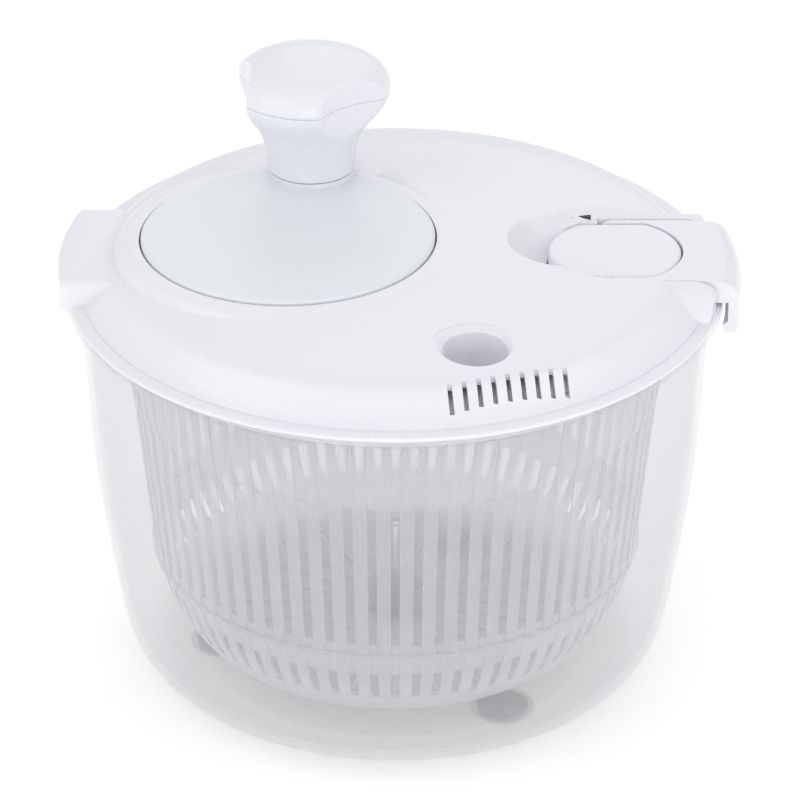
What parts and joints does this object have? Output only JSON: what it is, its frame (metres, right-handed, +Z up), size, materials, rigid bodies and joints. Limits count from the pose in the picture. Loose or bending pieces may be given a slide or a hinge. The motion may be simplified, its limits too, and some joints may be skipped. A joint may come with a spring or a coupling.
{
  "type": "salad spinner",
  "caption": "Hand-cranked salad spinner: clear bowl, slotted milky basket that turns inside it, and a white geared lid with a mushroom knob, brake pad and side latch.",
  "frame": {"origin": "centre of the bowl's underside, on the surface that its rubber feet stand on", "axes": "+Z up along the bowl's axis; +X from the lid's fixed lug towards the latch"},
  "size_m": [0.2488, 0.24, 0.2194],
  "materials": {
    "clear_plastic": "clear, glossy, faintly hazy",
    "milky_plastic": "translucent milky, satin gloss",
    "white_gloss": "glossy white injection moulding",
    "white_satin": "satin white injection moulding",
    "grey_plastic": "satin blue-grey moulding",
    "acetal": "self-lubricating natural acetal",
    "foot_rubber": "matt grey rubber",
    "brake_rubber": "matt dark rubber",
    "steel": "plain turned steel"
  },
  "bodies": {
    "bowl": {"bowl": "clear_plastic", "rubber_foot_1": "foot_rubber", "rubber_foot_2": "foot_rubber", "rubber_foot_3": "foot_rubber", "pivot_pin": "steel"},
    "carrier": {"basket_bush": "grey_plastic"},
    "basket": {"basket": "milky_plastic"},
    "lid": {"lid_shell": "white_gloss", "gear_cover": "white_satin", "cover_screws": "steel", "drive_bush": "acetal", "crank_bush": "acetal", "latch_pin": "steel", "brake_spring": "steel"},
    "crank": {"crank_disc": "white_gloss", "crank_gear": "acetal", "crank_washer": "steel", "crank_screw": "steel", "knob_spindle": "steel", "knob_washer": "steel", "knob_screw": "steel"},
    "knob": {"knob_stem": "white_gloss", "knob_head": "white_gloss"},
    "rotor": {"rotor_plate": "white_satin", "rotor_shaft": "steel", "drive_pinion": "acetal", "rotor_washer": "steel", "rotor_screw": "steel"},
    "latch": {"latch_arm": "white_gloss"},
    "brake": {"brake_button": "white_gloss", "brake_shoe": "brake_rubber"}
  },
  "joints": [
    {"name": "lid_lift", "type": "slide", "parent": "bowl", "child": "lid", "axis": [0, 0, 1], "range_m": [0, 0.4]},
    {"name": "crank_spin", "type": "hinge", "parent": "lid", "child": "crank", "pos_m": [-0.039, 0, 0.165], "axis": [0, 0, 1], "continuous": true},
    {"name": "knob_spin", "type": "hinge", "parent": "crank", "child": "knob", "pos_m": [-0.0314, 0.0515, 0.19], "axis": [0, 0, 1], "continuous": true},
    {"name": "rotor_spin", "type": "hinge", "parent": "lid", "child": "rotor", "pos_m": [0, 0, 0.15], "axis": [0, 0, 1], "continuous": true},
    {"name": "basket_lift", "type": "slide", "parent": "bowl", "child": "carrier", "axis": [0, 0, 1], "range_m": [0, 0.2]},
    {"name": "basket_spin", "type": "hinge", "parent": "carrier", "child": "basket", "pos_m": [0, 0, 0.02], "axis": [0, 0, 1], "continuous": true},
    {"name": "latch_open", "type": "hinge", "parent": "lid", "child": "latch", "pos_m": [0.08, 0, 0.16], "axis": [0, -1, 0], "range_deg": [0, 70]},
    {"name": "brake_press", "type": "hinge", "parent": "lid", "child": "brake", "pos_m": [0.08, 0, 0.16], "axis": [0, -1, 0], "range_deg": [0, 6], "stiffness_Nm_per_rad": 0.06, "springref_deg": -14.32, "deforming": ["brake_spring"]}
  ],
  "couplings": [
    {"joint": "rotor_spin", "follows": "basket_spin", "ratio": 1},
    {"joint": "crank_spin", "follows": "basket_spin", "ratio": -0.33333},
    {"joint": "basket_lift", "follows": "lid_lift", "ratio": 0.5}
  ]
}
